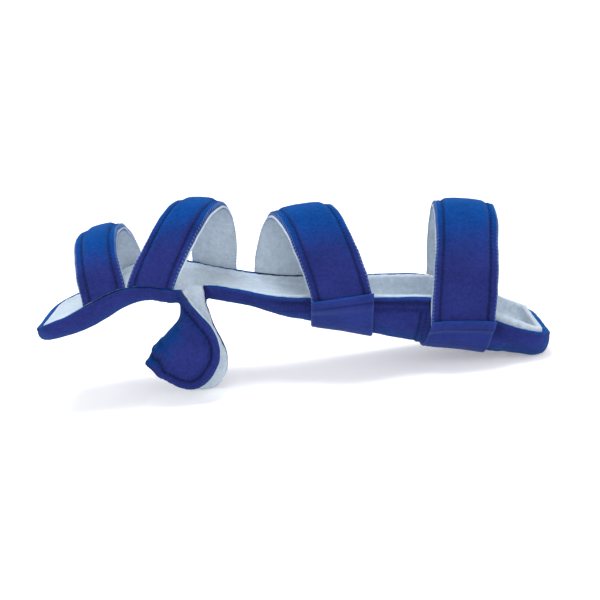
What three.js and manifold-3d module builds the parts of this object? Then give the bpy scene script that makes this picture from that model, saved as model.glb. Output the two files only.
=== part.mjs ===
// Resting hand splint for a right hand, in millimetres with +Z up.
// It is modelled as worn: X runs from the fingertips (-) to the elbow (+), Y from the
// thumb side (-) to the little finger side (+), and Z up from the palm to the back of the hand.
// The last group then lays it down on a flat surface, as it rests by itself.
import * as THREE from "three";
import Module from "manifold-3d";
import { mergeVertices } from "three/addons/utils/BufferGeometryUtils.js";

const wasm = await Module();
wasm.setup();

// The padded pan, measured from the wrist
const HAND_LENGTH = 161;
const FOREARM_LENGTH = 153;
const HALF_WIDTH = 42;
const WALL_HEIGHT = 33;
const CORNER_RADIUS = 20;
const COVER_THICKNESS = 5.5;
const LINING_THICKNESS = 4.5;
const LINING_RIM_RISE = 4.5;
const REST_FLATTENING = 0.6;
const GAP = 0.3;

// The thumb trough, a folded flap round the thumb
const THUMB_LENGTH = 47;
const THUMB_NEAR_DEPTH = 36;
const THUMB_FAR_DEPTH = 47;
const THUMB_WIDTH = 42;
const THUMB_STAND_OUT = 6;
const THUMB_SLOPE_DEG = 47.6;
const THUMB_PLACE = -0.4627;
const THUMB_DROP = 11.7;
const THUMB_CORNER_RADIUS = 17;
const THUMB_CAVITY_REACH = 20;
const LINING_CREST = 1;
const LINING_SWELL = 0.2;

// The straps
const STRAP_HEIGHT = 65;
const STRAP_WIDTH = 38;
const STRAP_FACE_THICKNESS = 2.6;
const STRAP_LINING_THICKNESS = 1.7;
const TAB_THICKNESS = 2.0;
const TAB_OVERLAP = 7;
const TAB_CLEARANCE = 0.6;
const TAB_REACH = 30;
const TAB_WIDER = 1.02;
const TAB_BEND_START = 0.5;
const TAB_BEND_LENGTH = 5;
const STRAP_EDGE_DROP = 2.2;
const STRAP_SPACING = 0.8;

// A table's rows, with its columns named once
const table = (columns, rows) =>
  rows.map((row) => Object.fromEntries(row.map((value, i) => [columns[i], value])));

// One row for each section of the pan from the fingertips to the elbow. along and rise are
// shares of HAND_LENGTH before the wrist and of FOREARM_LENGTH after it, near and far are
// shares of HALF_WIDTH, the walls, crown and lift are shares of WALL_HEIGHT, and corner is a
// share of CORNER_RADIUS. rimRise is a share of LINING_RIM_RISE.
const PAN_SECTIONS = table(
  ["along", "rise", "near", "far", "nearWall", "farWall", "corner", "crown", "lift", "rimRise"],
  [
    [-1, -0.128, 0.6, 0.6, 0.25, 0.25, 0.5, 0, 0.12, 0],
    [-0.991, -0.126, 0.76, 0.76, 0.28, 0.28, 0.5, 0, 0.05, 0],
    [-0.975, -0.122, 0.86, 0.86, 0.31, 0.31, 0.5, 0, 0.02, 0],
    [-0.95, -0.116, 0.94, 0.94, 0.34, 0.34, 0.5, 0, 0, 0],
    [-0.915, -0.107, 0.985, 0.985, 0.37, 0.37, 0.5, 0, 0, 0],
    [-0.865, -0.092, 1, 1, 0.39, 0.39, 0.5, 0, 0, 0],
    [-0.8, -0.065, 1, 1, 0.42, 0.42, 0.5, 0, 0, 0],
    [-0.73, -0.026, 1, 1, 0.42, 0.42, 0.5, 0.02, 0, 0],
    [-0.655, 0.019, 1, 1, 0.38, 0.42, 0.5, 0.05, 0, 0],
    [-0.575, 0.042, 1, 1, 0.3, 0.42, 0.45, 0.1, 0, 0],
    [-0.485, 0.032, 1, 1, 0.29, 0.42, 0.45, 0.14, 0, 0],
    [-0.455, 0.028, 0.86, 0.98, 0.29, 0.42, 0.45, 0.14, 0, 0],
    [-0.42, 0.023, 0.52, 0.96, 0.29, 0.42, 0.45, 0.12, 0, 0],
    [-0.36, 0.013, 0.36, 0.9, 0.3, 0.42, 0.45, 0.08, 0, 0],
    [-0.28, 0.001, 0.35, 0.86, 0.3, 0.42, 0.45, 0.04, 0, 0],
    [-0.2, -0.012, 0.4, 0.84, 0.3, 0.42, 0.45, 0.02, 0, 0],
    [-0.1, -0.03, 0.66, 0.84, 0.38, 0.45, 0.55, 0, 0, 0.1],
    [0, -0.048, 0.86, 0.86, 0.5, 0.52, 0.8, 0, 0, 0.1],
    [0.14, -0.078, 0.9, 0.9, 0.65, 0.65, 1, 0, 0, 0.1],
    [0.31, -0.109, 0.94, 0.94, 0.81, 0.81, 1, 0, 0, 0.1],
    [0.5, -0.139, 0.98, 0.98, 0.94, 0.94, 1, 0, 0, 0.1],
    [0.64, -0.154, 1, 1, 0.82, 0.82, 1, 0, 0, 0.5],
    [0.78, -0.171, 1.01, 1.01, 0.64, 0.64, 1, 0, 0, 1],
    [0.86, -0.182, 1.01, 1.01, 0.57, 0.57, 1, 0, 0, 0.8],
    [0.915, -0.189, 1, 1, 0.54, 0.54, 1, 0, 0, 0.6],
    [0.95, -0.193, 0.95, 0.95, 0.53, 0.53, 1, 0, 0, 0.5],
    [0.975, -0.195, 0.87, 0.87, 0.52, 0.52, 1, 0, 0.02, 0.4],
    [0.991, -0.196, 0.77, 0.77, 0.5, 0.5, 0.9, 0, 0.05, 0.3],
    [1, -0.197, 0.62, 0.62, 0.48, 0.48, 0.8, 0, 0.12, 0.3],
  ],
);

// One row for each section of the thumb trough from the palm to the thumb's tip. along is a
// share of THUMB_LENGTH counted from the root, fold is the closed side's place as a share of
// THUMB_NEAR_DEPTH, near and far are the flaps' free edges as shares of their depths, and
// nearSide and farSide are the flaps' distances from the middle as shares of THUMB_WIDTH.
const THUMB_SECTIONS = table(
  ["along", "fold", "near", "far", "nearSide", "farSide"],
  [
    [-0.6, -0.8, -0.8, -0.2, 0.36, 0.5],
    [-0.46, -0.62, -0.62, 0.02, 0.36, 0.5],
    [-0.34, -0.46, -0.32, 0.16, 0.37, 0.5],
    [-0.29, -0.36, 0.38, 0.24, 0.38, 0.5],
    [-0.2, -0.21, 0.72, 0.38, 0.41, 0.5],
    [-0.05, -0.04, 0.91, 0.76, 0.46, 0.5],
    [0.08, 0, 0.97, 0.92, 0.49, 0.5],
    [0.25, 0, 1.0, 1.0, 0.5, 0.5],
    [0.42, 0, 0.96, 1.0, 0.5, 0.5],
    [0.53, 0, 0.83, 0.94, 0.5, 0.5],
    [0.61, 0.01, 0.62, 0.85, 0.49, 0.49],
    [0.66, 0.04, 0.36, 0.7, 0.47, 0.47],
  ],
);

// One row for each strap. near, top and far are the places of its middle at the near rim, over
// the arm and at the far rim, as shares of the hand's or forearm's length from the wrist. height
// is its outer top above the wrist's underside, as a share of STRAP_HEIGHT. The columns after
// square are shares of STRAP_WIDTH. width is measured along the arm and slant is how much lower
// the fingertip edge is at the top. square bends the loop from an ellipse (2) towards a box. tab
// is the side where a hook tab holds it, -1 near or 1 far. end is how far the strap runs down
// past that rim and skew how much more it does so at its elbow edge. hang is how far the tab's
// loose corner stands off and drift how far its lower end lies towards the elbow. A strap with
// no near place starts beside the one named, STRAP_SPACING away.
const STRAPS = table(
  [
    ...["name", "near", "beside", "top", "far", "height", "tab"],
    ...["square", "width", "slant", "end", "skew", "hang", "drift"],
  ],
  [
    ["finger", -0.735, null, -0.785, -0.73, 0.723, 1, 2.5, 0.684, 0.158, 0.13, 0, 0, 0],
    ["palm", null, "finger", -0.4, -0.35, 1.0, 1, 2.4, 0.75, -0.026, 0.13, 0, 0, 0],
    ["wrist", 0.167, null, 0.015, -0.07, 0.938, -1, 2.3, 0.974, 0.132, 0.105, -0.026, 0.042, 0],
    ["forearm", 0.645, null, 0.668, 0.668, 0.992, -1, 2.4, 1.0, -0.053, 0.263, -0.184, 0, -0.132],
  ],
);
for (const strap of STRAPS) {
  strap.height *= STRAP_HEIGHT;
  for (const column of ["width", "slant", "end", "skew", "hang", "drift"]) strap[column] *= STRAP_WIDTH;
}

const LONGEST_STEP = 0.1;
const ARC_STEPS = 4;
const FLOOR_STEPS = 3;
const WALL_STEPS = 4;
const ARCH_STEPS = 20;
const ACROSS_STEPS = 3;
const CAVITY_HEIGHT = 60;
const THUMB_CAVITY_RISE = 6;
const STRAP_THICKNESS = STRAP_FACE_THICKNESS + GAP + STRAP_LINING_THICKNESS;

const blueCloth = new THREE.MeshStandardMaterial({ color: 0x24409c, roughness: 0.85, metalness: 0 });
const blueTab = new THREE.MeshStandardMaterial({ color: 0x2d4bb0, roughness: 0.6, metalness: 0 });
const whiteTerry = new THREE.MeshStandardMaterial({ color: 0xc9d6e8, roughness: 0.95, metalness: 0 });

// Catmull-Rom value of one column of a table at a place between its rows
function columnAt(rows, key, place, column) {
  let i = 0;
  while (i < rows.length - 2 && place > rows[i + 1][key]) i += 1;
  const at = (k) => rows[Math.min(Math.max(k, 0), rows.length - 1)];
  const [a, b, c, d] = [at(i - 1), at(i), at(i + 1), at(i + 2)];
  const step = c[key] - b[key];
  const share = THREE.MathUtils.clamp((place - b[key]) / step, 0, 1);
  const slopeIn = b === a ? 0 : ((c[column] - a[column]) / (c[key] - a[key])) * step;
  const slopeOut = c === d ? 0 : ((d[column] - b[column]) / (d[key] - b[key])) * step;
  const s2 = share * share;
  const s3 = s2 * share;
  return (
    (2 * s3 - 3 * s2 + 1) * b[column] + (s3 - 2 * s2 + share) * slopeIn +
    (3 * s2 - 2 * s3) * c[column] + (s3 - s2) * slopeOut
  );
}

// A point of the pan's spine, its underside along the middle, at a station from -1 to 1
function spineAt(station) {
  const length = station < 0 ? HAND_LENGTH : FOREARM_LENGTH;
  const rise = columnAt(PAN_SECTIONS, "along", station, "rise");
  return new THREE.Vector3(station * length, 0, rise * length);
}

// All sizes of the pan's section at a station, with the frame it stands in
function panSection(station) {
  const column = (name) => columnAt(PAN_SECTIONS, "along", station, name);
  const reach = 0.03;
  const along = spineAt(Math.min(station + reach, 1)).sub(spineAt(Math.max(station - reach, -1))).normalize();
  return {
    origin: spineAt(station),
    up: new THREE.Vector3(-along.z, 0, along.x),
    side: new THREE.Vector3(0, 1, 0),
    near: column("near") * HALF_WIDTH,
    far: column("far") * HALF_WIDTH,
    nearWall: column("nearWall") * WALL_HEIGHT,
    farWall: column("farWall") * WALL_HEIGHT,
    corner: column("corner") * CORNER_RADIUS,
    crown: column("crown") * WALL_HEIGHT,
    lift: column("lift") * WALL_HEIGHT,
    rimRise: column("rimRise") * LINING_RIM_RISE,
  };
}

// The thumb trough's section in the same terms: its closed side is the floor
function thumbSection(place) {
  const column = (name) => columnAt(THUMB_SECTIONS, "along", place, name);
  const slope = THREE.MathUtils.degToRad(THUMB_SLOPE_DEG);
  const axis = new THREE.Vector3(-Math.cos(slope), 0, -Math.sin(slope));
  const up = new THREE.Vector3(Math.sin(slope), 0, -Math.cos(slope));
  const fold = column("fold") * THUMB_NEAR_DEPTH;
  return {
    origin: spineAt(THUMB_PLACE)
      .add(new THREE.Vector3(0, THUMB_WIDTH / 2 - HALF_WIDTH - THUMB_STAND_OUT, -THUMB_DROP))
      .addScaledVector(axis, place * THUMB_LENGTH)
      .addScaledVector(up, fold),
    up,
    side: new THREE.Vector3(0, 1, 0),
    near: column("nearSide") * THUMB_WIDTH,
    far: column("farSide") * THUMB_WIDTH,
    nearWall: column("near") * THUMB_NEAR_DEPTH - fold,
    farWall: column("far") * THUMB_FAR_DEPTH - fold,
    corner: THUMB_CORNER_RADIUS,
    crown: 0,
    lift: 0,
    rimRise: 0,
  };
}

// The U of a section at some depth inside its outer face, from the near rim to the far rim,
// as [across, up] pairs
function profile(section, depth, raise) {
  const left = -(section.near - depth);
  const right = section.far - depth;
  const floor = section.lift + depth;
  const nearTop = Math.max(section.nearWall + raise, floor + 0.6);
  const farTop = Math.max(section.farWall + raise, floor + 0.6);
  const radius = (wall) => Math.max(Math.min(section.corner, wall - section.lift - 0.3) - depth, 0.3);
  const nearRadius = radius(section.nearWall);
  const farRadius = radius(section.farWall);
  const points = [[left, nearTop]];
  for (let i = 0; i <= ARC_STEPS; i += 1) {
    const turn = (i / ARC_STEPS) * (Math.PI / 2);
    points.push([left + nearRadius * (1 - Math.cos(turn)), floor + nearRadius * (1 - Math.sin(turn))]);
  }
  const start = left + nearRadius;
  const end = right - farRadius;
  for (let i = 1; i < FLOOR_STEPS; i += 1) {
    const share = i / FLOOR_STEPS;
    points.push([start + (end - start) * share, floor + section.crown * Math.sin(Math.PI * share)]);
  }
  for (let i = 0; i <= ARC_STEPS; i += 1) {
    const turn = (i / ARC_STEPS) * (Math.PI / 2);
    points.push([right - farRadius * (1 - Math.sin(turn)), floor + farRadius * (1 - Math.cos(turn))]);
  }
  points.push([right, farTop]);
  return points;
}

function place(section, [across, up]) {
  return section.origin.clone().addScaledVector(section.side, across).addScaledVector(section.up, up);
}

// A closed geometry from vertices and triangles, turned so that its faces point out
function closedGeometry(vertices, triangles) {
  let volume = 0;
  for (const [a, b, c] of triangles) {
    volume += vertices[a].dot(new THREE.Vector3().crossVectors(vertices[b], vertices[c]));
  }
  const index = triangles.flatMap(([a, b, c]) => (volume > 0 ? [a, b, c] : [a, c, b]));
  const geometry = new THREE.BufferGeometry();
  const flat = vertices.flatMap((v) => [v.x, v.y, v.z]);
  geometry.setAttribute("position", new THREE.Float32BufferAttribute(flat, 3));
  geometry.setIndex(index);
  return geometry;
}

// A solid through a row of closed rings, each given by its frame and its outline
function loft(rings) {
  const count = rings[0].outline.length;
  const vertices = rings.flatMap((ring) => ring.outline.map((point) => place(ring.section, point)));
  const triangles = [];
  for (let i = 0; i + 1 < rings.length; i += 1) {
    for (let j = 0; j < count; j += 1) {
      const next = (j + 1) % count;
      const [a, b, c, d] = [i * count + j, i * count + next, (i + 1) * count + next, (i + 1) * count + j];
      triangles.push([a, b, c], [a, c, d]);
    }
  }
  for (const [ring, flip] of [[0, true], [rings.length - 1, false]]) {
    const contour = rings[ring].outline.map(([x, y]) => new THREE.Vector2(x, y));
    for (const [a, b, c] of THREE.ShapeUtils.triangulateShape(contour, [])) {
      const [p, q, r] = [a, b, c].map((k) => ring * count + k);
      triangles.push(flip ? [p, r, q] : [p, q, r]);
    }
  }
  return closedGeometry(vertices, triangles);
}

// The places where a loft has a ring between two ends: at each row of its table, and halfway
// between rows that lie far apart, so that nested lofts match
function ringPlaces(rows, from, to) {
  const shared = rows.flatMap((row, i) => {
    const next = i + 1 < rows.length ? rows[i + 1].along : row.along;
    return next - row.along > LONGEST_STEP ? [row.along, (row.along + next) / 2] : [row.along];
  });
  return [from, ...shared.filter((place) => place > from + 0.005 && place < to - 0.005), to];
}

// A filled trough between two places. depth is how far inside the outer face it lies, raise
// how far its top stands above the rims.
function troughSolid(sectionAt, stations, depth, raise) {
  const rings = [];
  for (const station of stations) {
    const section = sectionAt(station);
    rings.push({ section, outline: profile(section, depth, raise) });
  }
  return solid(loft(rings));
}

function solid(geometry) {
  const bare = geometry.clone();
  bare.deleteAttribute("normal");
  bare.deleteAttribute("uv");
  const merged = mergeVertices(bare, 1e-4);
  return new wasm.Manifold(
    new wasm.Mesh({
      numProp: 3,
      vertProperties: new Float32Array(merged.attributes.position.array),
      triVerts: new Uint32Array(merged.index.array),
    }),
  );
}

function geometryOf(manifold) {
  const { vertProperties, triVerts } = manifold.getMesh();
  const geometry = new THREE.BufferGeometry();
  geometry.setAttribute("position", new THREE.Float32BufferAttribute(vertProperties, 3));
  geometry.setIndex(new THREE.BufferAttribute(new Uint32Array(triVerts), 1));
  geometry.computeVertexNormals();
  return geometry;
}

// The pan and the thumb trough as filled solids at a depth inside the outer face
function panSolid(depth, raise) {
  const [from, to] = [-1 + depth / HAND_LENGTH, 1 - depth / FOREARM_LENGTH];
  return troughSolid(panSection, ringPlaces(PAN_SECTIONS, from, to), depth, raise);
}
function thumbSolid(depth, raise, extend) {
  const from = THUMB_SECTIONS[0].along - extend / THUMB_LENGTH;
  const to = THUMB_SECTIONS.at(-1).along + extend / THUMB_LENGTH;
  return troughSolid(thumbSection, ringPlaces(THUMB_SECTIONS, from, to), depth, raise);
}

const liningDepth = COVER_THICKNESS + GAP;
const airDepth = COVER_THICKNESS + GAP + LINING_THICKNESS;

// The outline of the pan's lining before its room is cut out. Where the walls are lower than
// the padding is thick, its upper side follows the floor's crown, so it keeps its thickness.
function liningOutline(section) {
  const outline = profile(section, liningDepth, section.rimRise);
  const [[left, nearTop], [right, farTop]] = [outline[0], outline.at(-1)];
  const floor = profile(section, airDepth, CAVITY_HEIGHT).slice(ARC_STEPS + 2, -ARC_STEPS - 2);
  const crest = floor.map(([across, up], i) => {
    const straight = nearTop + ((farTop - nearTop) * (across - left)) / (right - left);
    const share = (i + 1) / FLOOR_STEPS;
    const swell = THREE.MathUtils.smoothstep(Math.min(share, 1 - share), 0, LINING_SWELL);
    return [across, straight + Math.max(up + LINING_CREST - straight, 0) * swell];
  });
  return [...outline, ...crest.reverse()];
}
function liningSolid() {
  const [from, to] = [-1 + liningDepth / HAND_LENGTH, 1 - liningDepth / FOREARM_LENGTH];
  const rings = [];
  for (const station of ringPlaces(PAN_SECTIONS, from, to)) {
    const section = panSection(station);
    rings.push({ section, outline: liningOutline(section) });
  }
  return solid(loft(rings));
}

// Everything above the pan's rims, out to both sides
function panHeadroom() {
  const rings = [];
  for (const station of ringPlaces(PAN_SECTIONS, -1, 1)) {
    const section = panSection(station);
    const reach = 2 * HALF_WIDTH;
    const [near, far] = [section.nearWall, section.farWall];
    const floor = [[-reach, near], [0, near], [0, far], [reach, far]];
    const outline = [...floor, [reach, far + CAVITY_HEIGHT], [-reach, near + CAVITY_HEIGHT]];
    rings.push({ section, outline });
  }
  return solid(loft(rings));
}

const panRoom = panSolid(COVER_THICKNESS, CAVITY_HEIGHT);
const thumbRoom = thumbSolid(COVER_THICKNESS, THUMB_CAVITY_RISE, THUMB_CAVITY_REACH);
const panAir = panSolid(airDepth, CAVITY_HEIGHT);
const thumbAir = thumbSolid(airDepth, THUMB_CAVITY_RISE, THUMB_CAVITY_REACH);
const headroom = panHeadroom();

const panBlock = panSolid(0, 0);
const thumbBlock = thumbSolid(0, 0, 0).subtract(headroom);
const cover = panBlock.add(thumbBlock).subtract(panRoom).subtract(thumbRoom);
const lining = liningSolid()
  .add(thumbSolid(liningDepth, 0, 0).subtract(headroom))
  .subtract(panAir)
  .subtract(thumbAir);

// The pan's outer wall in the upright plane at x, from the rim (or floor) at one side, as a
// line of [y, z] points that stands clear of the wall by a distance. side is -1 near or 1 far.
function wallLine(x, side, clear) {
  const count = 2 * ARC_STEPS + FLOOR_STEPS + 3;
  const half = Math.ceil(count / 2);
  const line = [];
  for (let j = 0; j < half; j += 1) {
    const k = side < 0 ? j : count - 1 - j;
    let station = x / (x < 0 ? HAND_LENGTH : FOREARM_LENGTH);
    let point = null;
    for (let turn = 0; turn < 5; turn += 1) {
      const section = panSection(station);
      point = place(section, profile(section, -clear, 0)[k]);
      station -= (point.x - x) / (x < 0 ? HAND_LENGTH : FOREARM_LENGTH);
    }
    line.push([point.y, point.z]);
  }
  return line;
}

// The point at a distance along a line of [y, z] points
function alongLine(line, distance) {
  let left = distance;
  for (let i = 0; i + 1 < line.length; i += 1) {
    const [a, b] = [line[i], line[i + 1]];
    const length = Math.hypot(b[0] - a[0], b[1] - a[1]);
    if (left <= length || i + 2 === line.length) {
      const share = left / Math.max(length, 1e-6);
      return [a[0] + (b[0] - a[0]) * share, a[1] + (b[1] - a[1]) * share];
    }
    left -= length;
  }
  return line.at(-1);
}

// A strap's middle at a share of its way over the arm, and its edges' distance from it
const lengthOf = (share) => share * (share < 0 ? HAND_LENGTH : FOREARM_LENGTH);
function nearX(strap) {
  if (!strap.beside) return lengthOf(strap.near);
  const other = STRAPS.find((row) => row.name === strap.beside);
  return nearX(other) + (other.width + strap.width) / 2 + STRAP_SPACING;
}
function strapX(strap, share, across) {
  const [n, t, f] = [nearX(strap), lengthOf(strap.top), lengthOf(strap.far)];
  const middle = n * (1 - share) * (1 - 2 * share) + t * 4 * share * (1 - share) + f * share * (2 * share - 1);
  return middle + (across * strap.width) / 2;
}

const strapEnd = (strap, across) => strap.end + strap.skew * across;

// One line of a strap from its near end to its far end, layer mm above its inner face. On the
// tab's side it runs down outside the wall, and on the other side it stands on the rim.
function strapLine(strap, across, layer, longer) {
  const points = [];
  const clearOf = (side) => (side === strap.tab ? GAP + layer : layer - STRAP_THICKNESS - GAP);
  const wallPart = (side, share) => {
    const x = strapX(strap, side < 0 ? 0 : 1, across);
    const rows = [];
    const steps = side === strap.tab ? WALL_STEPS : 0;
    for (let i = 0; i < steps; i += 1) {
      const line = wallLine(x, side, clearOf(side));
      rows.push([x, ...alongLine(line, (strapEnd(strap, across) + longer) * (1 - i / steps))]);
    }
    return rows;
  };
  points.push(...wallPart(-1));
  for (let i = 0; i <= ARCH_STEPS; i += 1) {
    const share = i / ARCH_STEPS;
    const side = share < 0.5 ? -1 : 1;
    const x = strapX(strap, share, across);
    const rim = wallLine(strapX(strap, side < 0 ? 0 : 1, across), side, clearOf(side))[0];
    const foot = rim[1] + (side === strap.tab ? 0 : GAP + 0.2);
    const bend = (across * strap.slant) / 2 - across * across * STRAP_EDGE_DROP;
    const crest = strap.height - STRAP_THICKNESS + layer + bend;
    const turn = Math.PI * share;
    const y = Math.abs(Math.cos(turn)) ** (2 / strap.square) * rim[0];
    const z = foot + Math.sin(turn) ** (2 / strap.square) * (crest - foot);
    points.push([x, y, z]);
  }
  points.push(...wallPart(1).reverse());
  return points.map((p) => new THREE.Vector3(...p));
}

// A sheet with thickness between two stacks of lines of equal length
function sheetBetween(inner, outer) {
  const [columns, rows] = [inner.length, inner[0].length];
  const vertices = [...inner.flat(), ...outer.flat()];
  const at = (layer, i, j) => layer * columns * rows + i * rows + j;
  const triangles = [];
  const quad = (a, b, c, d) => triangles.push([a, b, c], [a, c, d]);
  for (let i = 0; i + 1 < columns; i += 1) {
    for (let j = 0; j + 1 < rows; j += 1) {
      quad(at(0, i, j), at(0, i, j + 1), at(0, i + 1, j + 1), at(0, i + 1, j));
      quad(at(1, i, j), at(1, i + 1, j), at(1, i + 1, j + 1), at(1, i, j + 1));
    }
    quad(at(0, i, 0), at(0, i + 1, 0), at(1, i + 1, 0), at(1, i, 0));
    quad(at(0, i, rows - 1), at(1, i, rows - 1), at(1, i + 1, rows - 1), at(0, i + 1, rows - 1));
  }
  for (let j = 0; j + 1 < rows; j += 1) {
    quad(at(0, 0, j), at(1, 0, j), at(1, 0, j + 1), at(0, 0, j + 1));
    quad(at(0, columns - 1, j), at(0, columns - 1, j + 1), at(1, columns - 1, j + 1), at(1, columns - 1, j));
  }
  return closedGeometry(vertices, triangles);
}

// A layer of a strap between two heights above its inner face, made larger all round by grow
function strapLayer(strap, from, to, grow) {
  const lines = [[], []];
  for (let i = 0; i <= ACROSS_STEPS; i += 1) {
    const across = (-1 + (2 * i) / ACROSS_STEPS) * (1 + (2 * grow) / strap.width);
    lines[0].push(strapLine(strap, across, from - grow, grow));
    lines[1].push(strapLine(strap, across, to + grow, grow));
  }
  return sheetBetween(lines[0], lines[1]);
}

// The hook tab: it lies over the strap's end, steps down to the wall below it and runs on
function tabSolid(strap) {
  const lines = [[], []];
  const steps = 2 * WALL_STEPS + 4;
  for (let i = 0; i <= ACROSS_STEPS; i += 1) {
    const across = -1 + (2 * i) / ACROSS_STEPS;
    const start = strapX(strap, strap.tab < 0 ? 0 : 1, across * TAB_WIDER);
    for (const layer of [0, 1]) {
      const line = [];
      for (let j = 0; j <= steps; j += 1) {
        const x = start + (strap.drift * j) / steps;
        const end = strapEnd(strap, across);
        const down = end - TAB_OVERLAP + ((TAB_OVERLAP + TAB_REACH) * j) / steps;
        const bend = end + TAB_BEND_START;
        const past = THREE.MathUtils.smoothstep(down, bend, bend + TAB_BEND_LENGTH);
        const hang = strap.hang * Math.max(-across, 0) * (j / steps) ** 3;
        const clear = TAB_CLEARANCE + (STRAP_THICKNESS + GAP) * (1 - past) + hang + layer * TAB_THICKNESS;
        const wall = wallLine(x, strap.tab, clear);
        const above = Math.max(-down, 0);
        const [y, z] = alongLine(wall, Math.max(down, 0));
        line.push(new THREE.Vector3(x, y, z + above));
      }
      lines[layer].push(line);
    }
  }
  return solid(sheetBetween(lines[0], lines[1]))
    .subtract(solid(strapLayer(strap, 0, STRAP_THICKNESS, GAP)))
    .subtract(panGrown);
}

const panGrown = troughSolid(panSection, ringPlaces(PAN_SECTIONS, -1, 1), -GAP, GAP);
const bodies = [
  ["splint_cover", cover, blueCloth],
  ["terry_lining", lining, whiteTerry],
];
for (const strap of STRAPS) {
  const face = solid(strapLayer(strap, STRAP_LINING_THICKNESS + GAP, STRAP_THICKNESS, 0));
  const back = solid(strapLayer(strap, 0, STRAP_LINING_THICKNESS, 0));
  bodies.push([`${strap.name}_strap`, face, blueCloth]);
  bodies.push([`${strap.name}_strap_lining`, back, whiteTerry]);
  bodies.push([`${strap.name}_strap_tab`, tabSolid(strap), blueTab]);
}

// Laying it down: it rests on the thumb trough's edge and on the elbow end's underside. The
// pitch that puts both on the floor is found first, then the cloth is flattened there.
function restPitch(body) {
  const { vertProperties } = body.getMesh();
  let pitch = 0;
  for (let turn = 0; turn < 8; turn += 1) {
    const lowest = [null, null];
    for (let i = 0; i < vertProperties.length; i += 3) {
      const [x, z] = [vertProperties[i], vertProperties[i + 2]];
      const height = -Math.sin(pitch) * x + Math.cos(pitch) * z;
      const side = x < 0 ? 0 : 1;
      if (!lowest[side] || height < lowest[side].height) lowest[side] = { x, z, height };
    }
    pitch = Math.atan2(lowest[1].z - lowest[0].z, lowest[1].x - lowest[0].x);
  }
  return THREE.MathUtils.radToDeg(pitch);
}

const pitch = restPitch(cover);
const laid = bodies.map(([name, body, material]) => [name, body.rotate([0, pitch, 0]), material]);
const lowest = Math.min(...laid.map(([, body]) => body.boundingBox().min[2]));
const span = laid.map(([, body]) => body.boundingBox());
const low = (k) => Math.min(...span.map((box) => box.min[k]));
const high = (k) => Math.max(...span.map((box) => box.max[k]));
const shift = [-(low(0) + high(0)) / 2, -(low(1) + high(1)) / 2, -(lowest + REST_FLATTENING)];

const splint = new THREE.Group();
for (const [name, body, material] of laid) {
  const mesh = new THREE.Mesh(geometryOf(body.translate(shift).trimByPlane([0, 0, 1], 0)), material);
  mesh.name = name;
  splint.add(mesh);
}
export default splint;
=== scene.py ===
# The resting hand splint dressed in its cloth: padded blue laminate, terry lining, four sewn
# straps with their hook tabs, and the stitching. Lengths in the tables and shape functions are
# millimetres in the frame the splint is worn in; rest() lays it down and turns them to metres.
import math

import bpy
import numpy as np
from mathutils import Matrix, Vector, noise
from mathutils.bvhtree import BVHTree
from mathutils.kdtree import KDTree


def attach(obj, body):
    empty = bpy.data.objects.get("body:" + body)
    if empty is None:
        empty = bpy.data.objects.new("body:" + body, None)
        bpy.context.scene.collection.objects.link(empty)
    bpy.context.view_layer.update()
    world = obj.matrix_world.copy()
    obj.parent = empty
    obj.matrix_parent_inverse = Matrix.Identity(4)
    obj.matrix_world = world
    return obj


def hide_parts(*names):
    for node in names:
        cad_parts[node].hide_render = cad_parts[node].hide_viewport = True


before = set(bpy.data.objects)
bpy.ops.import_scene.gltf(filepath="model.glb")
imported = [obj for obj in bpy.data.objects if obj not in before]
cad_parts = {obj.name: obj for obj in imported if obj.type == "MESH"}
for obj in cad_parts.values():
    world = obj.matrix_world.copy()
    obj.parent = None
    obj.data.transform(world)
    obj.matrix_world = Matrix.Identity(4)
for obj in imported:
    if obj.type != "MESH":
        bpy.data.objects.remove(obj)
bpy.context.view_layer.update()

# Driving sizes, as in the part
HAND_LENGTH = 161
FOREARM_LENGTH = 153
HALF_WIDTH = 42
WALL_HEIGHT = 33
CORNER_RADIUS = 20
COVER_THICKNESS = 5.5
LINING_THICKNESS = 4.5
LINING_RIM_RISE = 4.5
GAP = 0.3
THUMB_LENGTH = 47
THUMB_NEAR_DEPTH = 36
THUMB_FAR_DEPTH = 47
THUMB_WIDTH = 42
THUMB_STAND_OUT = 6
THUMB_SLOPE = math.radians(47.6)
THUMB_PLACE = -0.4627
THUMB_DROP = 11.7
THUMB_CORNER_RADIUS = 17
STRAP_HEIGHT = 65
STRAP_WIDTH = 38
STRAP_FACE_THICKNESS = 2.6
STRAP_LINING_THICKNESS = 1.7
STRAP_THICKNESS = STRAP_FACE_THICKNESS + GAP + STRAP_LINING_THICKNESS
TAB_THICKNESS = 2.0
TAB_CLEARANCE = 0.6
TAB_REACH = 30
TAB_WIDER = 1.02
STRAP_EDGE_DROP = 2.2
STRAP_SPACING = 0.8
CAVITY_HEIGHT = 60
THUMB_CAVITY_RISE = 6
THUMB_CAVITY_REACH = 20

# Depths below the cover's outside where the lining and the air in the pan begin
LINING_DEPTH = 6.0
AIR_DEPTH = COVER_THICKNESS + GAP + LINING_THICKNESS

# How the laid-down splint is turned and moved from the frame it is worn in, and how softly what
# would lie under the floor is pressed flat on it
REST_PITCH = math.radians(7.136057917169913)
REST_SHIFT = (5.98099501748645, 0.1829376220703125, 46.88931753320462)
SOFT_LANDING = 0.25

# Meshing: steps of the lofts and grids, and the least sizes that keep a profile whole
MEAN_LENGTH = (HAND_LENGTH + FOREARM_LENGTH) / 2
RING_STEP, RIM_STEP, VOXEL = 1.3, 0.6, 1.15
ARC_STEPS, FLOOR_STEPS, WALL_STEPS, ARCH_STEPS = 9, 22, 24, 320
LEAST_WALL, LEAST_RADIUS = 0.6, 0.3
STRAP_STEP, TAB_STEP = 0.8, 0.7

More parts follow.
